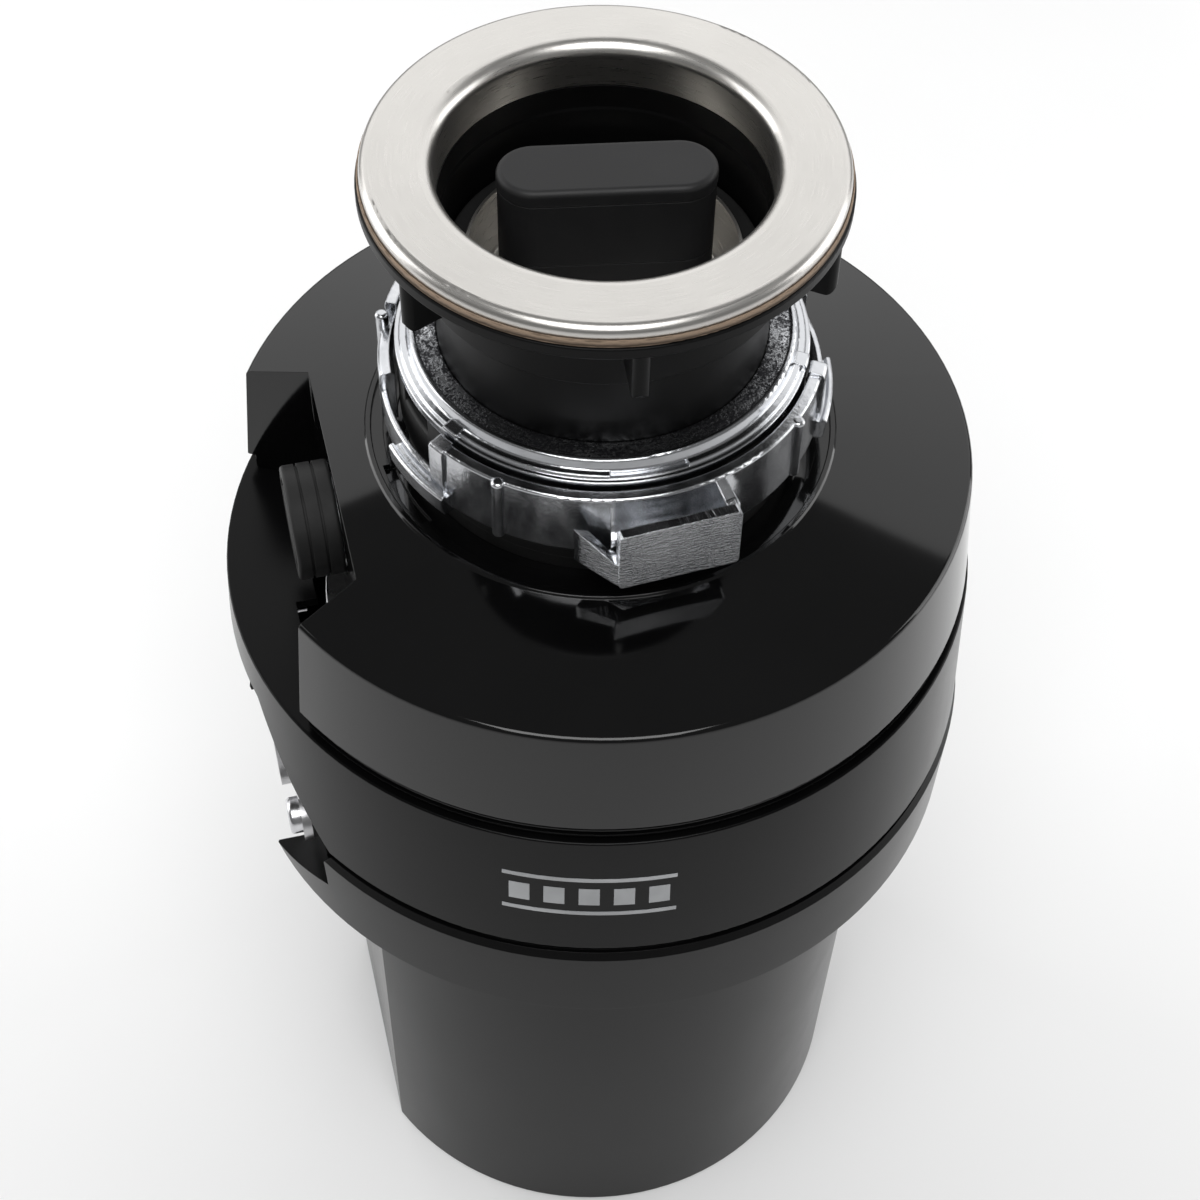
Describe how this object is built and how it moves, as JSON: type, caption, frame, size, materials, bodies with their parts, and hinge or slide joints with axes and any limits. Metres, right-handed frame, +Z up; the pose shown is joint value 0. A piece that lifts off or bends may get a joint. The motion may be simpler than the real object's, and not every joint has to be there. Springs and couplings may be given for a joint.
{
  "type": "kitchen garbage disposal",
  "caption": "Under-sink food waste disposer: sink flange with lift-out stopper, twist-lock mount, tiered shell, side dishwasher inlet and discharge, grinding turntable and motor.",
  "frame": {"origin": "centre of the base's underside, on the axis of the sink flange, motor and turntable", "axes": "+Z up through the sink flange; -X towards the dishwasher inlet, the discharge outlet and the base cup's flat side"},
  "size_m": [0.2099, 0.213, 0.3923],
  "materials": {
    "stainless": "satin brushed",
    "fibre": "matt woven",
    "black_satin": "satin",
    "black_gloss": "gloss",
    "black_shell": "semi-gloss",
    "zinc": "die-cast, bright plated",
    "rubber_black": "matt",
    "handle_grey": "fine grain",
    "drum_metal": "cast, dull",
    "steel_plate": "zinc plated",
    "screw_zinc": "bright zinc",
    "bronze": "satin",
    "copper": "enamelled wire",
    "laminated": "dull",
    "cast_cage": "cast",
    "painted_black": "satin",
    "earth_green": "satin",
    "reset_red": "gloss"
  },
  "bodies": {
    "housing": {"flange_trim": "stainless", "flange_sleeve": "black_satin", "fibre_gasket": "fibre", "support_flange": "black_satin", "mounting_ring": "zinc", "cushion": "rubber_black", "splash_guard": "rubber_black", "top_cover": "black_gloss", "mid_shell": "black_shell", "lower_band": "black_shell", "motor_cup": "black_shell", "base_plate": "black_satin", "wiring_cover": "painted_black", "wiring_cover_screw": "screw_zinc", "ground_screw": "earth_green", "base_screws": "screw_zinc", "hopper": "drum_metal", "clamp_band": "steel_plate", "drain_housing": "drum_metal", "outlet_gasket": "rubber_black", "outlet_flange": "steel_plate", "outlet_screws": "screw_zinc", "grind_ring": "stainless", "shaft_seal": "rubber_black", "upper_bearing": "bronze", "lower_bearing": "bronze", "motor_can": "steel_plate", "stator_core": "laminated", "stator_windings": "copper", "lower_end_plate": "drum_metal", "through_bolts": "screw_zinc", "overload_switch": "black_satin"},
    "rotor": {"shaft": "steel_plate", "rotor_core": "laminated", "rotor_cage": "cast_cage", "turntable": "stainless", "turntable_nut": "stainless", "lug_rivets": "stainless"},
    "stopper": {"stopper_handle": "handle_grey", "stopper_stem": "handle_grey", "stopper_dish": "stainless", "stopper_rim": "rubber_black"},
    "impeller_a": {"impeller_a": "stainless"},
    "impeller_b": {"impeller_b": "stainless"},
    "lock_ring": {"lock_ring": "zinc"},
    "inlet_cap": {"inlet_cap": "rubber_black"},
    "reset_button": {"reset_button": "reset_red"}
  },
  "joints": [
    {"name": "stopper_lift", "type": "slide", "parent": "housing", "child": "stopper", "axis": [0, 0, 1], "range_m": [0, 0.1]},
    {"name": "lock_ring_turn", "type": "hinge", "parent": "housing", "child": "lock_ring", "pos_m": [0, 0, 0.325], "axis": [0, 0, 1], "range_deg": [0, 45]},
    {"name": "rotor_spin", "type": "hinge", "parent": "housing", "child": "rotor", "pos_m": [0, 0, 0.12], "axis": [0, 0, 1], "continuous": true},
    {"name": "impeller_a_swing", "type": "hinge", "parent": "rotor", "child": "impeller_a", "pos_m": [0.038, 0, 0.244], "axis": [0, 0, 1], "continuous": true},
    {"name": "impeller_b_swing", "type": "hinge", "parent": "rotor", "child": "impeller_b", "pos_m": [-0.038, 0, 0.244], "axis": [0, 0, 1], "continuous": true},
    {"name": "inlet_cap_pull", "type": "slide", "parent": "housing", "child": "inlet_cap", "axis": [-1, 0, 0], "range_m": [0, 0.03]},
    {"name": "reset_press", "type": "slide", "parent": "housing", "child": "reset_button", "axis": [0, 0, 1], "range_m": [0, 0.0025], "stiffness_N_per_m": 100}
  ]
}
